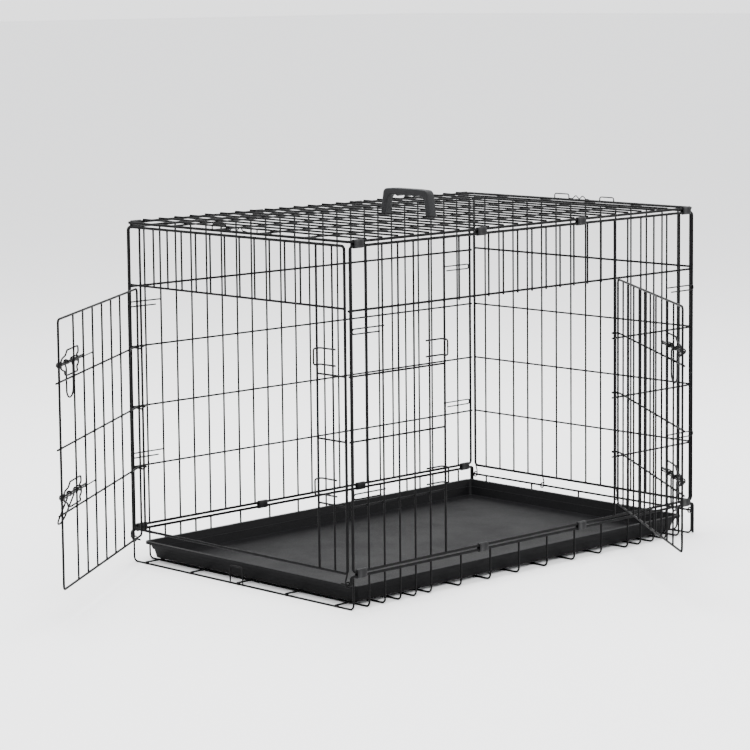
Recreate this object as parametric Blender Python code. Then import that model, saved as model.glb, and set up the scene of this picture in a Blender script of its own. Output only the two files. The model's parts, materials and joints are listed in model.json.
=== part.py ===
"""Folding wire dog crate with two doors, a plastic tray and a carrying handle.

Frame: X along the crate, Y across it, Z up, origin on the floor under the crate's
centre. The side door is in the long side at -Y and the end door in the end at -X.
Both doors are modelled closed and then turned open about their hinge empties.
"""

import itertools
import math

import bmesh
import bpy
from mathutils import Vector

# Overall sizes, in metres, between wire centres
LENGTH = 1.073
WIDTH = 0.693
HEIGHT = 0.743

# Wire and fits
WIRE = 0.0038
RAIL = 0.005
PANEL_DEPTH = 0.004
SMALL_WIRE = 0.0032
TOUCH_GAP = 0.0003
RUNNING_GAP = 0.0006

# Grids
SIDE_PITCHES = 24
END_PITCHES = 15
ROOF_ROWS = 5
DOOR_ROWS = 4
BASE_CROSS_WIRES = (0, 1, 2, 3, 4, 5, 7, 9, 11, 13, 15, 17, 19, 20, 21, 22, 23, 24)
BASE_LONG_EDGE = 0.0465

# Heights and insets
RAIL_STACK = 0.009
BASE_RAIL_Z = 0.070
SIDE_FOOT_Z = BASE_RAIL_Z + RAIL_STACK
SIDE_TOP_Z = HEIGHT - RAIL_STACK
HEADER_DROP = 0.138
HEADER_Z = HEIGHT - HEADER_DROP
END_TOP_DROP = 0.008
END_RAIL_Z = 0.0755
END_HINGE_Z = 0.053
END_CLEARANCE = 0.006
END_EDGE_INSET = 0.010
HINGE_PEG = 0.028

# Door openings, counted in wires of their panels
SIDE_DOOR_WIRES = (6, 18)
END_DOOR_WIRES = (2, 14)
DOOR_STANDOFF = 0.0048
DOOR_HINGE_SET = 0.011
DOOR_LAP = 0.002
DOOR_CURL = 0.0045
SIDE_DOOR_SPACES = 11
END_DOOR_SPACES = 8
SIDE_DOOR_FOOT_Z = 0.108
END_DOOR_FOOT_Z = 0.0685
LAST_SPACE = 1.5
SIDE_ROW_LIFT = 0.012
END_ROW_LIFT = 0.006
END_DOOR_STUB = 0.008
SIDE_DOOR_OPEN = math.radians(55)
END_DOOR_OPEN = math.radians(55.5)

# Slide-bolt latches
BOLT_RADIUS = 0.0025
BOLT_STANDOFF = 0.006 + 2 * BOLT_RADIUS
BOLT_LENGTH = 0.176
BOLT_NOSE_SET = 0.018
LATCH_ROWS = ((1, 0.036), (3, 0.037))
BRACKET_SET = 0.030
BRACKET_WIDTH = 0.118
BRACKET_HEIGHT = 0.054
SHORT_ROW_SPACES = 4
TAIL_LENGTH = 0.075
TAIL_WIDTH = 0.044
TAIL_SET = 0.101
LOW_END_TAIL_SWING = math.radians(23)
KEEPER_LEG = 0.056
KEEPER_HALF = 0.017
KEEPER_SET = 0.011
KEEPER_REACH = 0.0225

# Small wire and sheet pieces
CLIP_SPACES = (0, 8, 15, 23)
CLIP_LENGTH = 0.014
CLIP_SHEET = 0.0012
HOOK_HALF = 0.0055
HOOK_WIRES = 2
HOOK_ROWS = ((1, 0.022), (3, 0.091))
ROOF_LOOPS = (("bracket", 0.0455, 0.0225, 0.011), ("hook", -0.0935, 0.0215, 0.009))

# Handle
HANDLE_HEIGHT = 0.060
HANDLE_THICK = 0.020
HANDLE_GRIP = 0.017
HANDLE_FOOT = 0.022
SCALLOP_DEPTH = 0.0035
SCALLOPS = 4

# Tray
TRAY_Z = 0.0078
TRAY_TOP_Z = 0.045
TRAY_WALL = 0.0025
TRAY_SIDE_GAP = 0.009
TRAY_END_GAP = 0.015
TRAY_FLANGE = 0.009
TRAY_SLOPE = 0.010
STOP_HALF = 0.020
STOP_HEIGHT = 0.043

RING_SIDES = 8
ROUND_SIDES = 12


def clear_scene():
    for obj in list(bpy.data.objects):
        bpy.data.objects.remove(obj, do_unlink=True)


def make_material(name, color, roughness, metallic=0.0):
    material = bpy.data.materials.new(name)
    material.use_nodes = True
    shader = material.node_tree.nodes["Principled BSDF"]
    shader.inputs["Base Color"].default_value = (*color, 1.0)
    shader.inputs["Roughness"].default_value = roughness
    shader.inputs["Metallic"].default_value = metallic
    return material


# Layout ------------------------------------------------------------------------


def tube_half():
    """Half the length of the sides and roof, which pass between the end panels."""
    return LENGTH / 2 - END_CLEARANCE


def side_x(index):
    return tube_half() * (2 * index / SIDE_PITCHES - 1)


def end_y(index):
    inset = END_EDGE_INSET if index in (0, END_PITCHES) else 0.0
    y = WIDTH * (index / END_PITCHES - 0.5)
    return y + inset if index == 0 else y - inset


def row_z(row):
    """Height of a panel's horizontal wire, row 0 at the side's foot and the last at the header."""
    return SIDE_FOOT_Z + row * (HEADER_Z - SIDE_FOOT_Z) / DOOR_ROWS


def base_long_ys():
    step = (WIDTH / 2 - BASE_LONG_EDGE) / 2
    return [k * step for k in range(-2, 3)]


# Objects -----------------------------------------------------------------------


def link(obj, material=None):
    bpy.context.scene.collection.objects.link(obj)
    if material is not None:
        obj.data.materials.append(material)
    return obj


def pivot(name, place, parent=None, turn=(0.0, 0.0, 0.0)):
    """An empty on a joint's axis. Its pieces are modelled in place and shifted back by it."""
    empty = bpy.data.objects.new(name, None)
    empty.empty_display_size = 0.03
    link(empty)
    empty["place"] = place
    empty.location = place
    empty.rotation_euler = turn
    if parent is not None:
        empty.parent = parent
        empty.location = Vector(place) - Vector(parent["place"])
    return empty


def attach(obj, parent):
    if parent is not None:
        obj.parent = parent
        obj.location = -Vector(parent["place"])
    return obj


def mesh_object(name, bm, material, parent=None, round_sides=False):
    bmesh.ops.recalc_face_normals(bm, faces=bm.faces)
    mesh = bpy.data.meshes.new(name)
    bm.to_mesh(mesh)
    bm.free()
    if round_sides:
        mesh.shade_smooth()
        mesh.set_sharp_from_angle(angle=math.radians(40))
    return attach(link(bpy.data.objects.new(name, mesh), material), parent)


def join_to(obj, bm, parent=None):
    """Adds a helper's shape to an object with a Boolean union."""
    helper = mesh_object(obj.name + "_add" + str(len(obj.modifiers)), bm, None, parent)
    helper.hide_render = True
    helper.display_type = "WIRE"
    union = obj.modifiers.new("union", "BOOLEAN")
    union.operation = "UNION"
    union.solver = "EXACT"
    union.object = helper
    return obj


# Shapes ------------------------------------------------------------------------


def upright(u, low, high, width=WIRE):
    return (u - width / 2, u + width / 2, low, high)


def crossbar(v, start, end, width=WIRE):
    return (start, end, v - width / 2, v + width / 2)


def welded_boxes(boxes):
    """One solid from boxes that overlap: the outer faces of all the cells they fill."""
    cuts = []
    for axis in range(3):
        cuts.append(sorted({round(box[axis + end], 7) for box in boxes for end in (0, 3)}))
    filled = set()
    for box in boxes:
        spans = []
        for axis in range(3):
            low = cuts[axis].index(round(box[axis], 7))
            high = cuts[axis].index(round(box[axis + 3], 7))
            spans.append(range(low, high))
        filled.update(itertools.product(*spans))
    bm = bmesh.new()
    corners = {}

    def corner(key):
        if key not in corners:
            corners[key] = bm.verts.new([cuts[axis][key[axis]] for axis in range(3)])
        return corners[key]

    for cell in sorted(filled):
        for axis, step in itertools.product(range(3), (0, 1)):
            beside = list(cell)
            beside[axis] += 2 * step - 1
            if tuple(beside) in filled:
                continue
            first, second = [other for other in range(3) if other != axis]
            square = []
            for along, across in ((0, 0), (1, 0), (1, 1), (0, 1)):
                key = list(cell)
                key[axis] += step
                key[first] += along
                key[second] += across
                square.append(corner(tuple(key)))
            bm.faces.new(square)
    return bm


def bar_boxes(bars, plane, level, depth=PANEL_DEPTH):
    """Flat bars in one plane as boxes of the plane's depth about level."""
    first, second, third = {"XZ": (0, 2, 1), "YZ": (1, 2, 0), "XY": (0, 1, 2)}[plane]
    boxes = []
    for start, end, low, high in bars:
        box = [0.0] * 6
        box[first], box[first + 3] = start, end
        box[second], box[second + 3] = low, high
        box[third], box[third + 3] = level - depth / 2, level + depth / 2
        boxes.append(box)
    return boxes


def lattice(bars, plane, level, depth=PANEL_DEPTH):
    """A welded grid of flat bars in one plane."""
    return welded_boxes(bar_boxes(bars, plane, level, depth))


def frame_of(direction):
    """Two unit vectors square to a main axis direction, given as X, Y or Z."""
    return {
        "X": (Vector((0, 1, 0)), Vector((0, 0, 1)), Vector((1, 0, 0))),
        "Y": (Vector((0, 0, 1)), Vector((1, 0, 0)), Vector((0, 1, 0))),
        "Z": (Vector((1, 0, 0)), Vector((0, 1, 0)), Vector((0, 0, 1))),
    }[direction]


def bridge(bm, loops, closed):
    """Side faces between successive loops of points, and back to the first if closed."""
    count = len(loops[0])
    pairs = list(zip(loops, loops[1:] + loops[:1]))
    for first, second in pairs if closed else pairs[:-1]:
        for k in range(count):
            n = (k + 1) % count
            bm.faces.new((first[k], first[n], second[n], second[k]))


def ring(bm, center, direction, inner, outer, thick, sides=RING_SIDES, stretch=0.0):
    """A band round an axis. With stretch it is a stadium, drawn out that far upwards."""
    across, up, along = frame_of(direction)
    if direction == "Y":
        across, up = up, across
    loops = []
    for radius, offset in ((inner, -1), (outer, -1), (outer, 1), (inner, 1)):
        loop = []
        for k in range(sides):
            angle = 2 * math.pi * (k + 0.5) / sides
            lift = stretch if math.sin(angle) > 0 else 0.0
            point = Vector(center) + along * (offset * thick / 2)
            point += across * (radius * math.cos(angle))
            point += up * (radius * math.sin(angle) + lift)
            loop.append(bm.verts.new(point))
        loops.append(loop)
    bridge(bm, loops, True)


def bar_between(bm, start, end, direction, radius, sides=ROUND_SIDES):
    """A round bar along a main axis, from start to end."""
    across, up, _ = frame_of(direction)
    loops = []
    for center in (start, end):
        loop = []
        for k in range(sides):
            angle = 2 * math.pi * k / sides
            offset = across * math.cos(angle) + up * math.sin(angle)
            loop.append(bm.verts.new(Vector(center) + offset * radius))
        loops.append(loop)
    bridge(bm, loops, False)
    bm.faces.new(loops[0])
    bm.faces.new(list(reversed(loops[1])))


def wire(name, points, material, parent=None, diameter=SMALL_WIRE):
    """A bent wire along a list of points."""
    curve = bpy.data.curves.new(name, "CURVE")
    curve.dimensions = "3D"
    curve.bevel_depth = diameter / 2
    curve.bevel_resolution = 1
    curve.use_fill_caps = True
    spline = curve.splines.new("POLY")
    spline.points.add(len(points) - 1)
    for point, place in zip(spline.points, points):
        point.co = (*place, 1.0)
    return attach(link(bpy.data.objects.new(name, curve), material), parent)


# Panels ------------------------------------------------------------------------


def side_panel(name, side, material, parent):
    """A long side. The one at -Y leaves its door opening free."""
    first, last = SIDE_DOOR_WIRES
    low, high = SIDE_FOOT_Z, SIDE_TOP_Z
    has_door = side < 0
    ends = (side_x(0), side_x(SIDE_PITCHES))
    bars = [crossbar(z, *ends, RAIL) for z in (low, HEADER_Z, high)]
    for row in range(1, DOOR_ROWS):
        if has_door:
            bars.append(crossbar(row_z(row), side_x(0), side_x(first)))
            bars.append(crossbar(row_z(row), side_x(last), side_x(SIDE_PITCHES)))
        else:
            bars.append(crossbar(row_z(row), *ends))
    for index in range(SIDE_PITCHES + 1):
        over_door = has_door and first < index < last
        edge = index in (0, SIDE_PITCHES) or (has_door and index in SIDE_DOOR_WIRES)
        foot = HEADER_Z if over_door else low - RAIL / 2
        bars.append(upright(side_x(index), foot, high + RAIL / 2, RAIL if edge else WIRE))
    return mesh_object(name, lattice(bars, "XZ", side * WIDTH / 2), material, parent)


def roof_panel(material, parent):
    bars = []
    half = WIDTH / 2
    for row in range(ROOF_ROWS + 1):
        y = WIDTH * (row / ROOF_ROWS - 0.5)
        width = RAIL if row in (0, ROOF_ROWS) else WIRE
        bars.append(crossbar(y, side_x(0), side_x(SIDE_PITCHES), width))
    for index in range(SIDE_PITCHES + 1):
        edge = index in (0, SIDE_PITCHES)
        width = RAIL if edge else WIRE
        bars.append(upright(side_x(index), -half - RAIL / 2, half + RAIL / 2, width))
    return mesh_object("roof_panel", lattice(bars, "XY", HEIGHT), material, parent)


def end_panel(name, end, material, parent):
    """An end. The one at -X leaves its door opening and the tray's slot free."""
    first, last = END_DOOR_WIRES
    has_door = end < 0
    top = HEIGHT - END_TOP_DROP
    x = end * LENGTH / 2
    edges = (end_y(0), end_y(END_PITCHES))
    bars = [crossbar(z, *edges, RAIL) for z in (END_RAIL_Z, HEADER_Z + RAIL, top)]
    for row in range(1, DOOR_ROWS):
        if has_door:
            bars.append(crossbar(row_z(row), edges[0], end_y(first)))
            bars.append(crossbar(row_z(row), end_y(last), edges[1]))
        else:
            bars.append(crossbar(row_z(row), *edges))
    ring_out = (RAIL / 2 + RUNNING_GAP) * 1.3 + SMALL_WIRE
    hinged = [0, END_PITCHES] if has_door else [0, 5, 10, END_PITCHES]
    for index in range(END_PITCHES + 1):
        over_door = has_door and first < index < last
        strong = index in (0, END_PITCHES) or (has_door and index in END_DOOR_WIRES)
        foot = HEADER_Z if over_door else END_RAIL_Z - RAIL / 2
        if index in hinged:
            foot = END_HINGE_Z + ring_out - SMALL_WIRE / 2
        width = RAIL if strong else WIRE
        bars.append(upright(end_y(index), foot, top + RAIL / 2, width))
    panel = mesh_object(name, lattice(bars, "YZ", x), material, parent)
    loops = bmesh.new()
    for index in hinged:
        center = (x, end_y(index), END_HINGE_Z)
        ring(loops, center, "Y", ring_out - SMALL_WIRE, ring_out, SMALL_WIRE)
    return join_to(panel, loops, parent)


def base_grid(material):
    """The floor grid with its upturned sides, the raised end rail and the hinge pegs."""
    half = WIDTH / 2
    skin = half + PANEL_DEPTH / 2
    far = LENGTH / 2
    rail_top = BASE_RAIL_Z + RAIL / 2
    cross_xs = [side_x(index) for index in BASE_CROSS_WIRES]
    floor = [upright(x, -skin, skin) for x in cross_xs]
    floor += [crossbar(y, -far, far + PANEL_DEPTH / 2) for y in base_long_ys()]
    boxes = bar_boxes(floor, "XY", PANEL_DEPTH / 2)
    wall = [crossbar(BASE_RAIL_Z, -far - WIRE / 2, far + PANEL_DEPTH / 2, RAIL)]
    wall += [upright(x, 0.0, rail_top) for x in [-far, *cross_xs]]
    for side in (-1, 1):
        boxes += bar_boxes(wall, "XZ", side * half)
    end = [crossbar(END_HINGE_Z, -skin, skin, RAIL)]
    end += [upright(y, 0.0, END_HINGE_Z) for y in base_long_ys()]
    end += [upright(side * half, 0.0, rail_top, PANEL_DEPTH) for side in (-1, 1)]
    boxes += bar_boxes(end, "YZ", far)
    for side in (-1, 1):
        reach = sorted((side * half, side * (half - HINGE_PEG)))
        peg = [(*reach, END_HINGE_Z - WIRE / 2, END_HINGE_Z + WIRE / 2)]
        boxes += bar_boxes(peg, "YZ", -far, WIRE)
    return mesh_object("base_grid", welded_boxes(boxes), material)


# Doors and latches ---------------------------------------------------------------


class Door:
    """Where a closed door lies: u runs from the hinge to the free edge, n outwards."""

    def __init__(self, name, hinge, plane, width, foot, lift, spaces, stub):
        self.name = name
        self.hinge = Vector(hinge)
        self.plane = plane
        self.width = width
        self.foot = foot
        self.lift = lift
        self.spaces = spaces
        self.stub = stub
        if plane == "XZ":
            self.along, self.out = Vector((-1, 0, 0)), Vector((0, -1, 0))
            self.level = self.hinge.y - DOOR_STANDOFF
        else:
            self.along, self.out = Vector((0, -1, 0)), Vector((-1, 0, 0))
            self.level = self.hinge.x - DOOR_STANDOFF
        self.slide_axis = "X" if plane == "XZ" else "Y"

    def at(self, u, n, z):
        place = self.hinge + self.along * u + self.out * n
        place.z = z
        return place

    def flat(self, u):
        """The same distance along the door, as the panel's own first coordinate."""
        place = self.at(u, 0, 0)
        return place.x if self.plane == "XZ" else place.y

    def lies(self, bars):
        """Turns bars given in u and z into bars in the panel's coordinates."""
        flat = []
        for start, end, low, high in bars:
            ends = sorted((self.flat(start), self.flat(end)))
            flat.append((*ends, low, high))
        return flat

    def rows(self):
        return [row_z(row) + self.lift for row in range(1, DOOR_ROWS)]

    def upright_us(self):
        usual = (self.width - DOOR_HINGE_SET) / (self.spaces - 1 + LAST_SPACE)
        places = [DOOR_HINGE_SET + k * usual for k in range(self.spaces)]
        return places + [self.width]

    def latch_zs(self):
        return [row_z(row) + above for row, above in LATCH_ROWS]


def door_panel(door, material, parent):
    uprights = door.upright_us()
    low, high = door.foot, HEADER_Z
    bars = [crossbar(z, uprights[0], door.width, RAIL) for z in (low, high)]
    for z in door.rows():
        bars.append(crossbar(z, DOOR_CURL, door.width + door.stub))
    for u in uprights:
        width = RAIL if u in (uprights[0], door.width) else WIRE
        bars.append(upright(u, low - RAIL / 2, high + RAIL / 2, width))
    for z in door.latch_zs():
        bars.append(crossbar(z, uprights[-SHORT_ROW_SPACES], door.width))
    grid = lattice(door.lies(bars), door.plane, door.level)
    panel = mesh_object(door.name, grid, material, parent)
    loops = bmesh.new()
    inner = (math.hypot(RAIL, PANEL_DEPTH) / 2 + RUNNING_GAP) / math.cos(math.pi / RING_SIDES)
    for z in door.rows():
        thick = WIRE - 2 * TOUCH_GAP
        ring(loops, door.at(0, 0, z), "Z", inner, inner + SMALL_WIRE, thick)
    return join_to(panel, loops, parent)


def latch_bracket(door, name, z, material, parent):
    """A bent-wire paw on the door with the two eyes that the bolt slides in."""
    outer = door.width - BRACKET_SET
    inner = outer - BRACKET_WIDTH
    rise = (BRACKET_HEIGHT - SMALL_WIRE) / 2
    bars = [crossbar(z + lift, inner, outer, SMALL_WIRE) for lift in (-rise, 0.0, rise)]
    for u in (inner + SMALL_WIRE / 2, outer - SMALL_WIRE / 2):
        bars.append(upright(u, z - BRACKET_HEIGHT / 2, z + BRACKET_HEIGHT / 2, SMALL_WIRE))
    set_off = PANEL_DEPTH / 2 + TOUCH_GAP + SMALL_WIRE / 2
    offset = -set_off
    grid = lattice(door.lies(bars), door.plane, door.level + offset, SMALL_WIRE)
    bracket = mesh_object(name, grid, material, parent)
    eyes = bmesh.new()
    eye = (BOLT_RADIUS + RUNNING_GAP) / math.cos(math.pi / RING_SIDES)
    outer_radius = BOLT_STANDOFF - PANEL_DEPTH / 2 - TOUCH_GAP - SMALL_WIRE / 3
    for u in (inner + SMALL_WIRE / 2, outer - SMALL_WIRE / 2):
        center = door.at(u, DOOR_STANDOFF + BOLT_STANDOFF, z)
        ring(eyes, center, door.slide_axis, eye, outer_radius, SMALL_WIRE - 2 * TOUCH_GAP)
    return join_to(bracket, eyes, parent)


def latch_bolt(door, name, z, material, parent):
    n = DOOR_STANDOFF + BOLT_STANDOFF
    nose = door.width - BOLT_NOSE_SET
    bm = bmesh.new()
    tip = door.at(nose, n, z)
    heel = door.at(nose - BOLT_LENGTH, n, z)
    bar_between(bm, heel, tip, door.slide_axis, BOLT_RADIUS)
    return mesh_object(name, bm, material, parent, round_sides=True)


def latch_tail(door, name, z, material, parent):
    """The long loop that turns on the bolt and hangs in front of the door."""
    n = DOOR_STANDOFF + BOLT_STANDOFF
    middle = door.width - TAIL_SET
    strands = (middle - TAIL_WIDTH / 2, middle + TAIL_WIDTH / 2)
    eye = (BOLT_RADIUS + RUNNING_GAP) / math.cos(math.pi / RING_SIDES)
    outer = eye + SMALL_WIRE * 0.55
    foot = z - TAIL_LENGTH
    bars = [upright(u, foot, z - eye - SMALL_WIRE / 4, SMALL_WIRE) for u in strands]
    ends = (strands[0] - SMALL_WIRE / 2, strands[1] + SMALL_WIRE / 2)
    bars.append(crossbar(foot + SMALL_WIRE / 2, *ends, SMALL_WIRE))
    level = door.level - BOLT_STANDOFF
    loop = mesh_object(
        name, lattice(door.lies(bars), door.plane, level, SMALL_WIRE), material, parent
    )
    eyes = bmesh.new()
    for u in strands:
        thick = SMALL_WIRE - 2 * TOUCH_GAP
        ring(eyes, door.at(u, n, z), door.slide_axis, eye, outer, thick)
    return join_to(loop, eyes, parent)


def keeper(door, name, z, material, parent):
    """A bent loop on the door's jamb that the shot bolt passes into."""
    skin = PANEL_DEPTH / 2 + TOUCH_GAP + SMALL_WIRE / 2
    start = door.width + KEEPER_LEG
    bend = door.width + KEEPER_SET
    soft = SMALL_WIRE
    half = KEEPER_HALF
    lower = [
        door.at(start, skin, z - half),
        door.at(bend + soft, skin, z - half),
        door.at(bend, skin + soft, z - half),
        door.at(bend, KEEPER_REACH - soft, z - half),
        door.at(bend, KEEPER_REACH, z - half + soft),
    ]
    upper = [Vector((p.x, p.y, 2 * z - p.z)) for p in reversed(lower)]
    return wire(name, lower + upper, material, parent)


def make_door(door, pivot_empty, dark, steel):
    door_panel(door, dark, pivot_empty)
    for label, z in zip(("low", "high"), door.latch_zs()):
        stem = door.name + "_" + label
        latch_bracket(door, stem + "_bracket", z, dark, pivot_empty)
        n = DOOR_STANDOFF + BOLT_STANDOFF
        middle = door.at(door.width - TAIL_SET, n, z)
        slide = pivot(stem + "_bolt_pivot", middle, pivot_empty)
        latch_bolt(door, stem + "_bolt", z, steel, slide)
        swings = door.name == "end_door" and label == "low"
        turn = (0.0, LOW_END_TAIL_SWING if swings else 0.0, 0.0)
        hang = pivot(stem + "_tail_pivot", middle, slide, turn)
        latch_tail(door, stem + "_tail", z, steel, hang)


def make_keepers(door, material, parent):
    for label, z in zip(("low", "high"), door.latch_zs()):
        keeper(door, door.name + "_" + label + "_keeper", z, material, parent)


# Clips, hooks and loops -----------------------------------------------------------


def clip(name, x, y, z, material, parent=None):
    """A sheet-metal band round two rails, one above the other."""
    bm = bmesh.new()
    inner = (math.hypot(RAIL, PANEL_DEPTH) / 2 + TOUCH_GAP) / math.cos(math.pi / RING_SIDES)
    outer = inner + CLIP_SHEET
    ring(bm, (x, y, z), "X", inner, outer, CLIP_LENGTH, RING_SIDES, RAIL_STACK)
    return mesh_object(name, bm, material, parent)


def corner_hook(name, side, end, z, material, parent):
    """A hairpin on a side's outer face, bent round at the corner wire."""
    y = side * (WIDTH / 2 + PANEL_DEPTH / 2 + TOUCH_GAP + SMALL_WIRE / 2)
    corner = tube_half()
    inner = corner - HOOK_WIRES * (side_x(1) - side_x(0))
    turn = [math.pi / 2 - k * math.pi / 4 for k in range(5)]
    bend = corner - HOOK_HALF
    points = [(end * inner, y, z + HOOK_HALF)]
    for angle in turn:
        x = bend + HOOK_HALF * math.cos(angle)
        points.append((end * x, y, z + HOOK_HALF * math.sin(angle)))
    points.append((end * inner, y, z - HOOK_HALF))
    return wire(name, points, material, parent)


def roof_loop(name, end, y, half, rise, material, parent):
    """A bent loop that stands on the roof's end wire."""
    x = end * tube_half()
    foot = HEIGHT + PANEL_DEPTH / 2 + TOUCH_GAP
    soft = SMALL_WIRE
    points = [
        (x, y - half, foot),
        (x, y - half, foot + rise - soft),
        (x, y - half + soft, foot + rise),
        (x, y + half - soft, foot + rise),
        (x, y + half, foot + rise - soft),
        (x, y + half, foot),
    ]
    return wire(name, points, material, parent, SMALL_WIRE * 0.9)


# Handle, tray and stop --------------------------------------------------------------


def handle(material, parent):
    """An arch whose feet straddle two roof wires, with a scalloped finger side."""
    foot_y = WIDTH * 0.5 / ROOF_ROWS
    slot = WIRE / 2 + TOUCH_GAP
    outer = foot_y + HANDLE_FOOT / 2
    inner = foot_y - HANDLE_FOOT / 2
    low = HEIGHT - PANEL_DEPTH / 2 - TOUCH_GAP * 2
    roof_of_slot = HEIGHT + PANEL_DEPTH / 2 + TOUCH_GAP
    top = HEIGHT + HANDLE_HEIGHT
    under = top - HANDLE_GRIP
    right = [
        (foot_y + slot, low),
        (outer, low),
        (outer, top - 0.024),
        (outer - 0.006, top - 0.010),
        (outer - 0.020, top - 0.002),
        (outer - 0.036, top),
    ]
    across = [(-y, z) for y, z in reversed(right)]
    left_slot = [(-foot_y - slot, roof_of_slot), (-foot_y + slot, roof_of_slot)]
    inside = [(-foot_y + slot, low), (-inner, low), (-inner, under - 0.012)]
    grip = inner - 0.008
    steps = 6 * SCALLOPS
    for k in range(steps + 1):
        y = -grip + 2 * grip * k / steps
        wave = abs(math.sin(math.pi * SCALLOPS * k / steps))
        inside.append((y, under - SCALLOP_DEPTH * (1 - wave)))
    rest = [(inner, under - 0.012), (inner, low), (foot_y - slot, low)]
    right_slot = [(foot_y - slot, roof_of_slot), (foot_y + slot, roof_of_slot)]
    outline = right + across + left_slot + inside + rest + right_slot
    x = (side_x(SIDE_PITCHES // 2 - 1) + side_x(SIDE_PITCHES // 2)) / 2
    bm = bmesh.new()
    verts = [bm.verts.new((x - HANDLE_THICK / 2, y, z)) for y, z in outline]
    face = bm.faces.new(verts)
    moved = bmesh.ops.extrude_face_region(bm, geom=[face])["geom"]
    moved_verts = [item for item in moved if isinstance(item, bmesh.types.BMVert)]
    bmesh.ops.translate(bm, vec=(HANDLE_THICK, 0, 0), verts=moved_verts)
    bmesh.ops.triangulate(bm, faces=[f for f in bm.faces if len(f.verts) > 4])
    return mesh_object("handle", bm, material, parent)


def tray(material):
    """A shallow moulded tray with sloping walls and a flat flange."""
    far_x = tube_half() - TRAY_END_GAP
    far_y = WIDTH / 2 - PANEL_DEPTH / 2 - TRAY_SIDE_GAP

    def rectangle(bm, inset, z):
        x, y = far_x - inset, far_y - inset
        cut = 0.012
        corners = []
        for sx, sy in ((1, 1), (-1, 1), (-1, -1), (1, -1)):
            pair = [(sx * x, sy * (y - cut)), (sx * (x - cut), sy * y)]
            if sx * sy < 0:
                pair.reverse()
            corners += pair
        return [bm.verts.new((px, py, z)) for px, py in corners]

    bm = bmesh.new()
    slope = TRAY_FLANGE + TRAY_SLOPE
    rim_z = TRAY_TOP_Z - TRAY_WALL
    floor_z = TRAY_Z + TRAY_WALL
    profile = (
        (slope, TRAY_Z),
        (TRAY_FLANGE, rim_z),
        (0.0, rim_z),
        (0.0, TRAY_TOP_Z),
        (TRAY_FLANGE + TRAY_WALL, TRAY_TOP_Z),
        (slope + TRAY_WALL, floor_z),
    )
    loops = [rectangle(bm, inset, z) for inset, z in profile]
    bridge(bm, loops, False)
    bm.faces.new(loops[0])
    bm.faces.new(loops[-1])
    return mesh_object("tray", bm, material)


def tray_stop(material):
    """A sprung wire loop that stands in front of the tray's lip."""
    x = -LENGTH / 2 - WIRE / 2
    y = base_long_ys()[2]
    foot = PANEL_DEPTH + TOUCH_GAP
    soft = SMALL_WIRE
    points = [
        (x, y - STOP_HALF, foot),
        (x, y - STOP_HALF, STOP_HEIGHT - soft * 1.5),
        (x, y - STOP_HALF + soft, STOP_HEIGHT - soft / 2),
        (x, y + STOP_HALF - soft, STOP_HEIGHT - soft / 2),
        (x, y + STOP_HALF, STOP_HEIGHT - soft * 1.5),
        (x, y + STOP_HALF, foot),
    ]
    return wire("tray_stop", points, material)


# Assembly ------------------------------------------------------------------------------


def main():
    clear_scene()
    coated = make_material("black_coated_wire", (0.012, 0.012, 0.013), 0.38, 0.2)
    bare = make_material("latch_wire", (0.016, 0.016, 0.017), 0.32, 0.3)
    plastic = make_material("tray_plastic", (0.018, 0.018, 0.02), 0.45)
    grip = make_material("handle_plastic", (0.06, 0.06, 0.062), 0.5)

    half = WIDTH / 2
    front = pivot("front_side_pivot", (0, -half, SIDE_FOOT_Z))
    back = pivot("back_side_pivot", (0, half, SIDE_FOOT_Z))
    roof = pivot("roof_pivot", (0, half, SIDE_TOP_Z), back)
    left = pivot("left_end_pivot", (-LENGTH / 2, 0, END_HINGE_Z))
    right = pivot("right_end_pivot", (LENGTH / 2, 0, END_HINGE_Z))

    base_grid(coated)
    side_panel("front_side_panel", -1, coated, front)
    side_panel("back_side_panel", 1, coated, back)
    roof_panel(coated, roof)
    end_panel("left_end_panel", -1, coated, left)
    end_panel("right_end_panel", 1, coated, right)
    tray(plastic)
    tray_stop(coated)
    handle(grip, roof)

    first, last = SIDE_DOOR_WIRES
    hinge = (side_x(last), -half, 0)
    width = side_x(last) - side_x(first) + DOOR_LAP
    side_door = Door(
        "side_door", hinge, "XZ", width, SIDE_DOOR_FOOT_Z, SIDE_ROW_LIFT,
        SIDE_DOOR_SPACES, 0.0,
    )
    turned = pivot("side_door_pivot", hinge, front, (0, 0, SIDE_DOOR_OPEN))
    make_door(side_door, turned, coated, bare)
    make_keepers(side_door, coated, front)

    first, last = END_DOOR_WIRES
    hinge = (-LENGTH / 2, end_y(last), 0)
    width = end_y(last) - end_y(first) + DOOR_LAP
    end_door = Door(
        "end_door", hinge, "YZ", width, END_DOOR_FOOT_Z, END_ROW_LIFT,
        END_DOOR_SPACES, END_DOOR_STUB,
    )
    turned = pivot("end_door_pivot", hinge, left, (0, 0, -END_DOOR_OPEN))
    make_door(end_door, turned, coated, bare)
    make_keepers(end_door, coated, left)

    for side, label in ((-1, "front"), (1, "back")):
        y = side * half
        for number, space in enumerate(CLIP_SPACES):
            x = (side_x(space) + side_x(space + 1)) / 2
            clip(f"{label}_base_clip_{number}", x, y, BASE_RAIL_Z, coated)
            clip(f"{label}_roof_clip_{number}", x, y, SIDE_TOP_Z, coated, roof)
        body = front if side < 0 else back
        for end, place in ((-1, "left"), (1, "right")):
            for height, (row, above) in zip(("low", "high"), HOOK_ROWS):
                name = f"{label}_{place}_{height}_hook"
                corner_hook(name, side, end, row_z(row) + above, coated, body)
    for end, place in ((-1, "left"), (1, "right")):
        for kind, y, half_span, rise in ROOF_LOOPS:
            name = f"{place}_{kind}_roof_loop"
            roof_loop(name, end, y, half_span, rise, coated, roof)


main()
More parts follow.
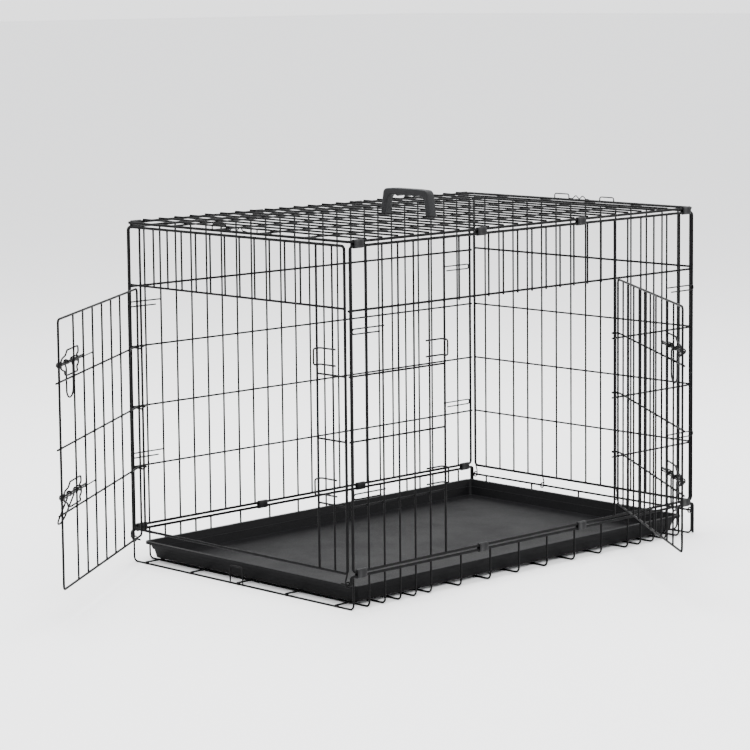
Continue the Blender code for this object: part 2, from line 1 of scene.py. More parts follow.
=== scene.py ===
"""A folding wire dog crate with two doors, a slide-out tray and a carrying handle.

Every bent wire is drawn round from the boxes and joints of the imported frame, so the
panels fold, the doors swing and the latches slide with the bodies they ride on."""

import json
import math

import bmesh
import bpy
from mathutils import Matrix, Vector


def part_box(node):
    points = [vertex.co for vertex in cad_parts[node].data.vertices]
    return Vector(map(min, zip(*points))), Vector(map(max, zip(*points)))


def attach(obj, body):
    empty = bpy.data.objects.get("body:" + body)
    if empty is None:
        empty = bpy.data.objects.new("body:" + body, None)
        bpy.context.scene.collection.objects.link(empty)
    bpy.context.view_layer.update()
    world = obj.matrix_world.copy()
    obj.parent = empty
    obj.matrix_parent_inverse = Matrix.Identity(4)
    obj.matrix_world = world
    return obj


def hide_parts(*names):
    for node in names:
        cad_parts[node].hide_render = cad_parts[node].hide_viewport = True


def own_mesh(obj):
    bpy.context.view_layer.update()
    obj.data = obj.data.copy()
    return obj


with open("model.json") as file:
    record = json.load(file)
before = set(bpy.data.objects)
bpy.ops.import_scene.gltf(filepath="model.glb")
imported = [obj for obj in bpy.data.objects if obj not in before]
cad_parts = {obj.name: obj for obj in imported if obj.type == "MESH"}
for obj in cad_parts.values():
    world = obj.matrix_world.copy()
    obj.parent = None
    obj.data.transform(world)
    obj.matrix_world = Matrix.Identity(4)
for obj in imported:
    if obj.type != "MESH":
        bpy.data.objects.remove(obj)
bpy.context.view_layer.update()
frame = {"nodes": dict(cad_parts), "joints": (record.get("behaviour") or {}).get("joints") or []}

bl_info = {
    "name": "Wire Dog Crate",
    "version": (1, 0, 0),
    "blender": (4, 5, 0),
    "location": "View3D > Sidebar > Crate",
    "description": "Builds a folding wire dog crate with doors, latches, tray and handle",
    "category": "Object",
}

# Counts and places of the wires, in metres, where the frame's boxes don't give them
PITCHES = 24
END_PITCHES = 15
ROOF_ROWS = 5
DOOR_ROWS = 4
RAIL_RADIUS = 0.0025
SIDE_DOOR_WIRES = (6, 18)
END_DOOR_WIRES = (2, 14)
BASE_CROSS_WIRES = (0, 1, 2, 3, 4, 5, 7, 9, 11, 13, 15, 17, 19, 20, 21, 22, 23, 24)
BASE_LONG_WIRES = (-0.30, -0.15, 0.0, 0.15, 0.30)
HEADER_Z = 0.605
END_HEADER_Z = 0.610
END_RAIL_Z = 0.0755
BASE_RAIL_Z = 0.070
END_HINGE_Z = 0.053
HINGE_PEG = 0.028
HINGE_LOOP = 0.0056
CLIPS_PER_RAIL = 4
DOOR_STANDOFF = 0.0048
DOOR_LIFT = 0.0003
DOOR_HINGE_SET = 0.011
DOOR_LAP = 0.002
LAST_SPACE = 1.5
BOLT_STANDOFF = 0.011
BRACKET_N = 0.0112
CURL_RADIUS = 0.0049
SHORT_ROW_SPACES = 4
WIRE_PAST_RAIL = 0.002
WIRE_PAST_JAMB = 0.003
WIRE_PAST_EDGE = 0.001
OVER_DOOR_DROP = 0.004
END_DOOR_ROW_SET = 0.0012
RIGHT_HINGE_WIRES = (0, 5, 10, END_PITCHES)
SMALL_BEND = 0.003
ROW_BEND = 0.004
RAIL_BEND = 0.006
ROW_START = 0.012
SHORT_ROD_PAST = 0.010
STAPLE_PLACES = (-0.985, 0.93)
STAPLE_ROOT = 0.0005
STAPLE_GAP = 0.0006
HOOK_STRAND_SET = 0.012

# Each point of a roof spring: its place across the crate and its height over the rail
SPRING_PROFILE = (
    (-0.040, 0.0), (-0.034, 0.001), (-0.030, 0.0005), (-0.0195, 0.0085), (-0.009, 0.0005),
    (0.0015, 0.0085), (0.012, 0.0005), (0.018, 0.001), (0.024, 0.0),
)

# Clips, handle and tray, in metres
CLIP_REACH = 0.013
CLIP_GAP = 0.0005
COLLAR_SHARE = 0.55
COLLAR_STEP = 0.001
HANDLE_SET_IN = 0.004
HANDLE_SLOT_GAP = 0.0003
GRIP_DEPTH = 0.0135
GRIP_WAVES = 4
GROOVE_DEPTH = 0.0040
TRAY_CORNER = 0.016
TRAY_LIP = 0.0085
TRAY_LIP_DROP = 0.0055

# Each ring inside the tray's lip: how far in, the share of the depth down, and a step up
TRAY_RINGS = (
    (0.0012, 0.0, -0.0006),
    (0.0042, 0.42, 0.0),
    (0.0024, 0.0, -0.0004),
    (0.0040, 0.58, 0.0020),
    (0.0016, 0.0, -0.0010),
    (0.0300, 0.0, 0.0),
    (0.0030, 0.0, 0.0014),
    (0.0100, 0.0, 0.0),
)

# Lights: name, place, size and power. The camera: place, then yaw, pitch and roll
LIGHTS = (
    ("key", (-2.6, -3.2, 4.2), (2.2, 2.2), 330.0),
    ("fill", (3.6, -2.6, 2.6), (3.0, 2.4), 90.0),
    ("top", (0.4, 0.8, 4.4), (2.6, 2.2), 330.0),
)
CAMERA_PLACE = (-4.208, -4.213, 1.247)
CAMERA_TURN = (44.09, 6.60, -0.57)
CAMERA_LENS = 130.4
CAMERA_SHIFT = -0.1013


def middle(node):
    low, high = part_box(node)
    return (low + high) / 2


def joint(name):
    return next(found for found in frame["joints"] if found["name"] == name)


SIDE_LOW, SIDE_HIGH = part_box("back_side_panel")
TUBE = SIDE_HIGH.x - RAIL_RADIUS
HALF_WIDTH = middle("back_side_panel").y
HALF_LENGTH = middle("roof_panel").x - middle("left_end_panel").x
SIDE_FOOT_Z = SIDE_LOW.z + RAIL_RADIUS
SIDE_TOP_Z = SIDE_HIGH.z - RAIL_RADIUS
ROOF_Z = middle("roof_panel").z
END_TOP_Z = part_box("left_end_panel")[1].z - RAIL_RADIUS
END_EDGE_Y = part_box("right_end_panel")[1].y - RAIL_RADIUS


def side_x(index):
    return TUBE * (2 * index / PITCHES - 1)


def end_y(index):
    if index in (0, END_PITCHES):
        return END_EDGE_Y if index else -END_EDGE_Y
    return 2 * HALF_WIDTH * (index / END_PITCHES - 0.5)


def row_z(row):
    return SIDE_FOOT_Z + row * (HEADER_Z - SIDE_FOOT_Z) / DOOR_ROWS


# Settings -----------------------------------------------------------------------


def length(name, default, description):
    return bpy.props.FloatProperty(
        name=name, description=description, default=default, min=0.0001, unit="LENGTH"
    )


def colour(name, default, description):
    return bpy.props.FloatVectorProperty(
        name=name,
        description=description,
        default=default,
        size=3,
        min=0.0,
        max=1.0,
        subtype="COLOR",
    )


class CrateSizes(bpy.types.PropertyGroup):
    """Thicknesses, bends and clearances that change the look and not the layout."""

    wire: length("Grid Wire", 0.0042, "Diameter of the wires of the panels")
    rail: length("Rail Wire", 0.005, "Diameter of headers, jambs and door frames")
    edge: length("Edge Rail", 0.0060, "Diameter of the rails round each panel's edge")
    short: length("Short Rod", 0.0028, "Diameter of the short rods behind the latches")
    paw: length("Latch Wire", 0.0038, "Diameter of latch loops, tails and keepers")
    small: length("Small Wire", 0.0032, "Diameter of hooks, staples and hinge loops")
    bolt: length("Bolt", 0.005, "Diameter of a slide bolt")
    lap: length("Weld Depth", 0.0003, "How far crossing wires are pressed into each other")
    floor_bend: length("Floor Bend", 0.010, "Radius where a floor wire turns up")
    corner: length("Corner Bend", 0.008, "Radius at the corners of a panel's frame")
    clip: length("Clip Sheet", 0.0012, "Thickness of the hinge clips' sheet metal")
    tray_wall: length("Tray Wall", 0.0025, "Thickness of the moulded tray")
    handle_edge: length("Handle Edge", 0.0032, "Rounding of the handle's edges")


class CrateColours(bpy.types.PropertyGroup):
    """Colours of the crate's finishes and of the stage."""

    wire: colour("Coated Wire", (0.0035, 0.0035, 0.0037), "Coat on the panel wires")
    latch: colour("Latch Wire", (0.0045, 0.0045, 0.0048), "Coat on the latches")
    clip: colour("Clips", (0.006, 0.006, 0.0065), "Coat on the hinge clips")
    tray: colour("Tray", (0.0026, 0.0026, 0.0029), "Moulded tray")
    handle: colour("Handle", (0.007, 0.0073, 0.008), "Moulded handle")
    floor: colour("Floor", (0.86, 0.86, 0.865), "Studio floor")


def sizes():
    return bpy.context.scene.crate_sizes


def colours():
    return bpy.context.scene.crate_colours


# Finishes -----------------------------------------------------------------------


def new_group(name, inputs, outputs):
    """An empty node group with named sockets, and its two end nodes."""
    group = bpy.data.node_groups.new(name, "ShaderNodeTree")
    for label, kind, value in inputs:
        socket = group.interface.new_socket(name=label, in_out="INPUT", socket_type=kind)
        socket.default_value = value
    for label, kind in outputs:
        group.interface.new_socket(name=label, in_out="OUTPUT", socket_type=kind)
    entry = group.nodes.new("NodeGroupInput")
    leave = group.nodes.new("NodeGroupOutput")
    return group, entry, leave


def noise(group, vector, scale, detail, roughness=0.5):
    node = group.nodes.new("ShaderNodeTexNoise")
    node.inputs["Scale"].default_value = scale
    node.inputs["Detail"].default_value = detail
    node.inputs["Roughness"].default_value = roughness
    group.links.new(vector, node.inputs["Vector"])
    return node.outputs["Fac"]


def spread(group, value, low, high):
    """A value stretched so that low becomes 0 and high becomes 1, and held at its ends."""
    node = group.nodes.new("ShaderNodeMapRange")
    node.inputs["From Min"].default_value = low
    node.inputs["From Max"].default_value = high
    group.links.new(value, node.inputs["Value"])
    return node.outputs["Result"]


def sums(group, kind, first, second):
    node = group.nodes.new("ShaderNodeMath")
    node.operation = kind
    for socket, value in zip(node.inputs, (first, second)):
        if isinstance(value, (int, float)):
            socket.default_value = value
        else:
            group.links.new(value, socket)
    return node.outputs["Value"]


def mix(group, factor, first, second):
    node = group.nodes.new("ShaderNodeMix")
    node.data_type = "RGBA"
    group.links.new(factor, node.inputs["Factor"])
    for socket, value in ((node.inputs[6], first), (node.inputs[7], second)):
        if isinstance(value, tuple):
            socket.default_value = value
        else:
            group.links.new(value, socket)
    return node.outputs[2]


SURFACE_OUTPUTS = (
    ("Colour", "NodeSocketColor"),
    ("Roughness", "NodeSocketFloat"),
    ("Height", "NodeSocketFloat"),
)


def dipped_coat_group():
    """The skin of a dipped coat: slow runs, fine peel, dull patches and a trace of dust."""
    group, entry, leave = new_group(
        "dipped_coat",
        (
            ("Coat", "NodeSocketColor", (0.01, 0.01, 0.01, 1.0)),
            ("Rubbed", "NodeSocketColor", (0.06, 0.06, 0.062, 1.0)),
            ("Wear", "NodeSocketFloat", 0.3),
            ("Gloss", "NodeSocketFloat", 0.3),
        ),
        SURFACE_OUTPUTS,
    )
    place = group.nodes.new("ShaderNodeTexCoord").outputs["Object"]
    runs = noise(group, place, 42.0, 3.0)
    peel = noise(group, place, 900.0, 2.0)
    flecks = spread(group, noise(group, place, 310.0, 4.0, 0.62), 0.60, 0.72)
    patches = spread(group, runs, 0.36, 0.66)
    worn = sums(group, "MULTIPLY", flecks, entry.outputs["Wear"])
    tint = mix(group, worn, entry.outputs["Coat"], entry.outputs["Rubbed"])
    group.links.new(tint, leave.inputs["Colour"])
    dull = sums(group, "MULTIPLY", patches, 0.14)
    dull = sums(group, "ADD", dull, entry.outputs["Gloss"])
    dull = sums(group, "ADD", dull, sums(group, "MULTIPLY", worn, 0.2))
    group.links.new(dull, leave.inputs["Roughness"])
    height = sums(group, "ADD", sums(group, "MULTIPLY", runs, 0.8), peel)
    height = sums(group, "SUBTRACT", height, sums(group, "MULTIPLY", flecks, 0.3))
    group.links.new(height, leave.inputs["Height"])
    return group


def moulded_grain_group():
    """Moulded plastic: a fine leathery grain, faint scuffs and settled dust."""
    group, entry, leave = new_group(
        "moulded_grain",
        (
            ("Plastic", "NodeSocketColor", (0.02, 0.02, 0.02, 1.0)),
            ("Scuff", "NodeSocketColor", (0.08, 0.08, 0.085, 1.0)),
            ("Grain Scale", "NodeSocketFloat", 520.0),
            ("Scuffing", "NodeSocketFloat", 0.35),
            ("Dullness", "NodeSocketFloat", 0.45),
        ),
        SURFACE_OUTPUTS,
    )
    place = group.nodes.new("ShaderNodeTexCoord").outputs["Object"]
    cells = group.nodes.new("ShaderNodeTexVoronoi")
    group.links.new(place, cells.inputs["Vector"])
    group.links.new(entry.outputs["Grain Scale"], cells.inputs["Scale"])
    pores = spread(group, cells.outputs["Distance"], 0.0, 0.6)
    cloud = noise(group, place, 7.0, 5.0, 0.6)
    stretch = group.nodes.new("ShaderNodeMapping")
    stretch.inputs["Scale"].default_value = (14.0, 150.0, 60.0)
    stretch.inputs["Rotation"].default_value = (0.0, 0.0, 0.4)
    group.links.new(place, stretch.inputs["Vector"])
    lines = noise(group, stretch.outputs["Vector"], 1.0, 4.0, 0.6)
    scratches = spread(group, lines, 0.60, 0.70)
    dust = spread(group, cloud, 0.42, 0.78)
    scuffs = sums(group, "MULTIPLY", scratches, dust)
    marks = sums(group, "ADD", sums(group, "MULTIPLY", dust, 0.30), scuffs)
    marks = sums(group, "MULTIPLY", marks, entry.outputs["Scuffing"])
    tint = mix(group, marks, entry.outputs["Plastic"], entry.outputs["Scuff"])
    group.links.new(tint, leave.inputs["Colour"])
    dull = sums(group, "ADD", entry.outputs["Dullness"], sums(group, "MULTIPLY", dust, 0.12))
    dull = sums(group, "ADD", dull, sums(group, "MULTIPLY", pores, 0.06))
    group.links.new(dull, leave.inputs["Roughness"])
    height = sums(group, "SUBTRACT", pores, sums(group, "MULTIPLY", scuffs, 0.5))
    group.links.new(height, leave.inputs["Height"])
    return group


def finish(name, group_name, values, depth, specular):
    """A material whose colour, roughness and bump come from one of the groups."""
    material = bpy.data.materials.new("finished_" + name)
    material.use_nodes = True
    tree = material.node_tree
    shader = tree.nodes["Principled BSDF"]
    surface = tree.nodes.new("ShaderNodeGroup")
    surface.node_tree = bpy.data.node_groups[group_name]
    for label, value in values.items():
        surface.inputs[label].default_value = value
    bump = tree.nodes.new("ShaderNodeBump")
    bump.inputs["Distance"].default_value = depth
    bump.inputs["Strength"].default_value = 0.6
    shader.inputs["Specular IOR Level"].default_value = specular
    tree.links.new(surface.outputs["Colour"], shader.inputs["Base Color"])
    tree.links.new(surface.outputs["Roughness"], shader.inputs["Roughness"])
    tree.links.new(surface.outputs["Height"], bump.inputs["Height"])
    tree.links.new(bump.outputs["Normal"], shader.inputs["Normal"])
    return material


def material(name):
    """The named finish, made the first time that it is asked for."""
    made = bpy.data.materials.get("finished_" + name)
    if made:
        return made
    if "dipped_coat" not in bpy.data.node_groups:
        dipped_coat_group()
        moulded_grain_group()
    tints = colours()
    coat = {"Rubbed": (0.03, 0.03, 0.031, 1.0)}
    if name == "coated_wire":
        coat.update({"Coat": (*tints.wire, 1.0), "Wear": 0.25, "Gloss": 0.30})
        return finish(name, "dipped_coat", coat, 0.00012, 0.04)
    if name == "latch_wire":
        coat.update({"Coat": (*tints.latch, 1.0), "Wear": 0.55, "Gloss": 0.24})
        return finish(name, "dipped_coat", coat, 0.00012, 0.06)
    if name == "clip_sheet":
        coat.update({"Coat": (*tints.clip, 1.0), "Wear": 0.5, "Gloss": 0.36})
        return finish(name, "dipped_coat", coat, 0.0001, 0.12)
    grain = {"Scuff": (0.045, 0.045, 0.047, 1.0)}
    if name == "tray_plastic":
        grain.update({"Plastic": (*tints.tray, 1.0), "Grain Scale": 420.0})
        grain.update({"Scuffing": 0.12, "Dullness": 0.42})
        return finish(name, "moulded_grain", grain, 0.00025, 0.05)
    grain.update({"Plastic": (*tints.handle, 1.0), "Grain Scale": 900.0})
    grain.update({"Scuffing": 0.22, "Dullness": 0.46})
    return finish(name, "moulded_grain", grain, 0.00012, 0.16)


# Wire bending -------------------------------------------------------------------


def clear_selection():
    if bpy.context.mode != "OBJECT":
        bpy.ops.object.mode_set(mode="OBJECT")
    bpy.ops.object.select_all(action="DESELECT")


def choose(piece):
    clear_selection()
    piece.select_set(True)
    bpy.context.view_layer.objects.active = piece


def link(name, data):
    """A new object in the scene that shows the given mesh, curve, light or camera."""
    made = bpy.data.objects.new(name, data)
    bpy.context.scene.collection.objects.link(made)
    return made


def angles(start, turn, steps):
    """The angles, in radians, from a start through a turn, both in degrees."""
    return [math.radians(start + turn * step / steps) for step in range(steps + 1)]


def bend(points, radius, closed=False, steps=6):
    """The same run of wire with each corner turned on a radius."""
    places = [Vector(point) for point in points]
    count = len(places)
    run = []
    for index, place in enumerate(places):
        if not closed and index in (0, count - 1):
            run.append(place)
            continue
        before = places[index - 1] - place
        after = places[(index + 1) % count] - place
        turn = math.pi - before.angle(after)
        if turn < 0.02:
            run.append(place)
            continue
        reach = radius * math.tan(turn / 2)
        reach = min(reach, 0.48 * before.length, 0.48 * after.length)
        start = place + before.normalized() * reach
        end = place + after.normalized() * reach
        middle_way = (start + end) / 2 - place
        centre = place + middle_way.normalized() * (reach / math.cos((math.pi - turn) / 2))
        bow = start - centre
        to_end = end - centre
        axis = bow.cross(to_end)
        if axis.length < 1e-12:
            run.append(place)
            continue
        angle = bow.angle(to_end)
        for step in range(steps + 1):
            run.append(centre + Matrix.Rotation(angle * step / steps, 3, axis) @ bow)
    return run


def bent_wires(name, wires):
    """One mesh of round wires. Each wire is its points, its diameter and if it is closed."""
    clear_selection()
    curve = bpy.data.curves.new(name, "CURVE")
    curve.dimensions = "3D"
    curve.bevel_depth = 0.001
    curve.bevel_resolution = 4
    curve.use_fill_caps = True
    for points, diameter, closed in wires:
        spline = curve.splines.new("POLY")
        spline.points.add(len(points) - 1)
        for point, place in zip(spline.points, points):
            point.co = (*place, 1.0)
            point.radius = diameter / 2 / curve.bevel_depth
        spline.use_cyclic_u = closed
    choose(link(name, curve))
    bpy.ops.object.convert(target="MESH")
    piece = bpy.context.object
    smooth(piece)
    return piece


def smooth(piece, angle=38.0):
    choose(piece)
    bpy.ops.object.shade_smooth_by_angle(angle=math.radians(angle))


def weld_beads(piece, places, radius):
    """Small beads of coat where wires cross, joined to the piece."""
    if not places:
        return
    clear_selection()
    bpy.ops.mesh.primitive_uv_sphere_add(segments=8, ring_count=5, radius=radius)
    bead = bpy.context.object
    bpy.ops.object.shade_smooth()
    count = len(bead.data.vertices)
    heap = bmesh.new()
    for place in places:
        heap.from_mesh(bead.data)
        heap.verts.ensure_lookup_table()
        bmesh.ops.translate(heap, vec=place, verts=heap.verts[-count:])
    heap.to_mesh(bead.data)
    heap.free()
    piece.select_set(True)
    bpy.context.view_layer.objects.active = piece
    bpy.ops.object.join()


def shift(piece, matrices):
    """Moves a piece's mesh through a chain of matrices, in order."""
    for matrix in matrices:
        piece.data.transform(matrix)
    piece.data.update()


def settle(piece, finish_name, body, slot, *nodes):
    """Gives a finished piece its material and its body, and hides the nodes of the frame that it stands
    for.
    """
    piece.data.materials.clear()
    piece.data.materials.append(material(finish_name))
    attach(piece, body)
    if nodes:
        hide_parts(*nodes)


def cross_offset(first, second):
    """How far apart the centres of two wires stand that are welded where they cross."""
    return (first + second) / 2 - sizes().lap


def welded(name, wires_and_beads, body, node, turns=()):
    """Draws a welded grid, turns it to where it rests and settles it on its body."""
    wires, beads = wires_and_beads
    piece = bent_wires(name, wires)
    weld_beads(piece, beads, sizes().wire * 0.5)
    shift(piece, turns)
    settle(piece, "coated_wire", body, "coated_wire", node)


# Panels -------------------------------------------------------------------------


def side_wires(side):
    """The wires and beads of a long side. The front one, side -1, has the door opening."""
    size = sizes()
    y = side * HALF_WIDTH
    frame_corners = (
        (-TUBE, y, SIDE_FOOT_Z),
        (TUBE, y, SIDE_FOOT_Z),
        (TUBE, y, SIDE_TOP_Z),
        (-TUBE, y, SIDE_TOP_Z),
    )
    wires = [(bend(frame_corners, size.corner, True), size.edge, True)]
    beads = []
    door = side < 0
    first, last = SIDE_DOOR_WIRES
    header_y = y - side * cross_offset(size.wire, size.rail)
    row_y = y - side * cross_offset(size.wire, size.wire)
    end = TUBE + WIRE_PAST_RAIL
    wires.append(([(-end, header_y, HEADER_Z), (end, header_y, HEADER_Z)], size.rail, False))
    for index in range(1, PITCHES):
        x = side_x(index)
        jamb = door and index in SIDE_DOOR_WIRES
        over = door and first < index < last
        foot = HEADER_Z - OVER_DOOR_DROP if over else SIDE_FOOT_Z
        thick = size.rail if jamb else size.wire
        wires.append(([(x, y, foot), (x, y, SIDE_TOP_Z)], thick, False))
        beads.append((x, (y + header_y) / 2, HEADER_Z))
    spans = [(-end, end)]
    if door:
        left_jamb, right_jamb = side_x(first), side_x(last)
        spans = [(-end, left_jamb + WIRE_PAST_JAMB), (right_jamb - WIRE_PAST_JAMB, end)]
    for row in range(1, DOOR_ROWS):
        z = row_z(row)
        for low, high in spans:
            wires.append(([(low, row_y, z), (high, row_y, z)], size.wire, False))
        for index in range(PITCHES + 1):
            x = side_x(index)
            if any(low < x < high for low, high in spans):
                beads.append((x, (y + row_y) / 2, z))
    return wires, beads


def roof_wires():
    size = sizes()
    corners = [
        (sx * TUBE, sy * HALF_WIDTH, ROOF_Z) for sx, sy in ((-1, -1), (1, -1), (1, 1), (-1, 1))
    ]
    wires = [(bend(corners, size.corner, True), size.edge, True)]
    beads = []
    cross_z = ROOF_Z + cross_offset(size.wire, size.wire)
    ys = [2 * HALF_WIDTH * (row / ROOF_ROWS - 0.5) for row in range(ROOF_ROWS + 1)]
    for y in ys[1:-1]:
        wires.append(([(-TUBE, y, ROOF_Z), (TUBE, y, ROOF_Z)], size.wire, False))
    for index in range(1, PITCHES):
        x = side_x(index)
        reach = HALF_WIDTH + WIRE_PAST_EDGE
        path = [(x, -reach, cross_z), (x, reach, cross_z)]
        wires.append((path, size.wire, False))
        beads += [(x, y, (ROOF_Z + cross_z) / 2) for y in ys]
    return wires, beads


def hinge_loop(x, y, out):
    """A panel wire's foot: it leans aside and curls under the wire that it turns on."""
    radius = HINGE_LOOP
    path = [(x, y, END_RAIL_Z + 0.004), (x + out * radius, y, END_HINGE_Z + radius * 1.6)]
    for angle in angles(0, -300, 16):
        path.append(
            (x + out * radius * math.cos(angle), y, END_HINGE_Z + radius * math.sin(angle))
        )
    return bend(path, SMALL_BEND), sizes().small, False


def end_wires(end):
    """The wires and beads of an end. The left one, end -1, has the door opening."""
    size = sizes()
    x = end * HALF_LENGTH
    door = end < 0
    first, last = END_DOOR_WIRES
    arch = [
        (x, -END_EDGE_Y, END_RAIL_Z),
        (x, -END_EDGE_Y, END_TOP_Z),
        (x, END_EDGE_Y, END_TOP_Z),
        (x, END_EDGE_Y, END_RAIL_Z),
    ]
    wires = [(bend(arch, size.corner, True), size.edge, True)]
    beads = []
    header = [(x, -END_EDGE_Y, END_HEADER_Z), (x, END_EDGE_Y, END_HEADER_Z)]
    wires.append((header, size.rail, False))
    row_x = x + (END_DOOR_ROW_SET if door else cross_offset(size.wire, size.wire))
    for index in range(1, END_PITCHES):
        y = end_y(index)
        jamb = door and index in END_DOOR_WIRES
        over = door and first < index < last
        foot = END_HEADER_Z if over else END_RAIL_Z
        thick = size.rail if jamb else size.wire
        wires.append(([(x, y, foot), (x, y, END_TOP_Z)], thick, False))
    edge = END_EDGE_Y + (0.0 if door else WIRE_PAST_EDGE)
    spans = [(-edge, edge)]
    if door:
        spans = [(-edge, end_y(first)), (end_y(last), edge)]
    for row in range(1, DOOR_ROWS):
        z = row_z(row)
        for low, high in spans:
            wires.append(([(row_x, low, z), (row_x, high, z)], size.wire, False))
        for index in range(END_PITCHES + 1):
            y = end_y(index)
            if any(low - WIRE_PAST_EDGE < y < high + WIRE_PAST_EDGE for low, high in spans):
                beads.append(((x + row_x) / 2, y, z))
    for index in (0, END_PITCHES) if door else RIGHT_HINGE_WIRES:
        wires.append(hinge_loop(x, end_y(index), end))
    return wires, beads


def base_wires():
    """The floor grid: cross wires turned up at both sides, long wires turned up at one end."""
    size = sizes()
    low_z = size.wire / 2
    long_z = low_z + cross_offset(size.wire, size.wire)
    wires = []
    beads = []
    for index in BASE_CROSS_WIRES:
        x = side_x(index)
        path = [
            (x, -HALF_WIDTH, BASE_RAIL_Z),
            (x, -HALF_WIDTH, low_z),
            (x, HALF_WIDTH, low_z),
            (x, HALF_WIDTH, BASE_RAIL_Z),
        ]
        wires.append((bend(path, size.floor_bend), size.wire, False))
        beads += [(x, y, (low_z + long_z) / 2) for y in BASE_LONG_WIRES]
    for y in BASE_LONG_WIRES:
        path = [
            (-HALF_LENGTH, y, long_z),
            (HALF_LENGTH, y, long_z),
            (HALF_LENGTH, y, END_HINGE_Z),
        ]
        wires.append((bend(path, size.floor_bend), size.wire, False))
    for side in (-1, 1):
        y = side * HALF_WIDTH
        rail = [
            (-HALF_LENGTH, y, END_HINGE_Z + 0.002),
            (-HALF_LENGTH, y, BASE_RAIL_Z),
            (HALF_LENGTH, y, BASE_RAIL_Z),
            (HALF_LENGTH, y, low_z),
        ]
        wires.append((bend(rail, RAIL_BEND), size.edge, False))
        peg = [
            (-HALF_LENGTH, y, BASE_RAIL_Z - 0.003),
            (-HALF_LENGTH, y, END_HINGE_Z),
            (-HALF_LENGTH, y - side * HINGE_PEG, END_HINGE_Z),
        ]
        wires.append((bend(peg, SMALL_BEND), size.wire, False))
    end = [(HALF_LENGTH, -HALF_WIDTH, END_HINGE_Z), (HALF_LENGTH, HALF_WIDTH, END_HINGE_Z)]
    wires.append((end, size.rail, False))
    return wires, beads


# Doors and latches --------------------------------------------------------------


class Door:
    """Where a closed door lies: u runs from its hinge to its free edge, n outwards.

    Its cross wires are raised by lift, and run past its free edge by stub."""

    def __init__(self, name, along, out, width, foot, lift, spaces, stub):
        self.name = name
        swing = joint(name + "_swing")
        self.hinge = Vector(swing["pos_m"])
        self.along = Vector(along)
        self.out = Vector(out)
        self.width = width
        self.foot = foot
        self.lift = lift
        self.spaces = spaces
        self.stub = stub
        self.opened = from_low_end(name + "_swing")

    def at(self, u, n, z):
        place = self.hinge + self.along * u + self.out * n
        place.z = z
        return place

    def rows(self):
        return [row_z(row) + self.lift for row in range(1, DOOR_ROWS)]

    def upright_us(self):
        usual = (self.width - DOOR_HINGE_SET) / (self.spaces - 1 + LAST_SPACE)
        return [DOOR_HINGE_SET + k * usual for k in range(self.spaces)]

    def latch_z(self, label):
        return joint(f"{self.name}_{label}_tail_hinge")["pos_m"][2]


def from_low_end(name):
    """The turn that takes a hinged piece from its joint's low end to where it rests."""
    hinge = joint(name)
    centre = Matrix.Translation(hinge["pos_m"])
    turn = Matrix.Rotation(-math.radians(hinge["range_deg"][0]), 4, Vector(hinge["axis"]))
    return centre @ turn @ centre.inverted()


def make_doors():
    first, last = SIDE_DOOR_WIRES
    side_width = side_x(last) - side_x(first) + DOOR_LAP
    first, last = END_DOOR_WIRES
    end_width = end_y(last) - end_y(first) + DOOR_LAP
    side_door = Door(
        "side_door", (-1, 0, 0), (0, -1, 0), side_width, foot=0.108, lift=0.012, spaces=11, stub=0.001
    )
    end_door = Door(
        "end_door", (0, -1, 0), (-1, 0, 0), end_width, foot=0.0685, lift=0.006, spaces=8, stub=0.008
    )
    return side_door, end_door


def closed_reach(node, chain, door):
    """How far a node reaches along its door, with the door and the node turned back."""
    back = Matrix.Identity(4)
    for matrix in chain:
        back = matrix @ back
    back.invert()
    along = [
        (back @ vertex.co - door.hinge).dot(door.along) for vertex in node.data.vertices
    ]
    return min(along), max(along)


def door_wires(door):
    size = sizes()
    n = DOOR_STANDOFF + DOOR_LIFT
    row_n = n + cross_offset(size.wire, size.wire)
    uprights = door.upright_us()
    corners = [
        door.at(uprights[0], n, door.foot),
        door.at(door.width, n, door.foot),
        door.at(door.width, n, HEADER_Z),
        door.at(uprights[0], n, HEADER_Z),
    ]
    wires = [(bend(corners, size.corner, True), size.rail, True)]
    beads = []
    for u in uprights[1:]:
        wires.append(([door.at(u, n, door.foot), door.at(u, n, HEADER_Z)], size.wire, False))
    for z in door.rows():
        path = [door.at(door.width + door.stub, row_n, z), door.at(ROW_START, row_n, z)]
        for angle in angles(78, 265, 14):
            u, lift = CURL_RADIUS * math.cos(angle), CURL_RADIUS * math.sin(angle)
            path.append(door.at(u, lift, z))
        wires.append((bend(path, ROW_BEND), size.wire, False))
        for u in [*uprights, door.width]:
            beads.append(door.at(u, (n + row_n) / 2, z))
    for label in ("low", "high"):
        z = door.latch_z(label)
        inner = uprights[1 - SHORT_ROW_SPACES] - SHORT_ROD_PAST
        short_n = n + cross_offset(size.wire, size.short) - DOOR_LIFT
        path = [door.at(inner, short_n, z), door.at(door.width, short_n, z)]
        wires.append((path, size.short, False))
        for u in [*uprights[1 - SHORT_ROW_SPACES :], door.width]:
            beads.append(door.at(u, (n + row_n) / 2, z))
    return wires, beads


PAW_OUTLINE = (
    (-0.27, 1.0), (0.95, 1.0), (0.97, 0.50), (0.70, 0.28), (0.97, 0.05), (0.97, -0.42),
    (0.72, -0.64), (0.93, -1.0), (-0.25, -1.0), (-0.55, -0.90), (-0.62, -0.58),
    (-0.82, -0.46), (-0.99, -0.30), (-0.99, 0.30), (-0.84, 0.50), (-0.50, 0.62),
)


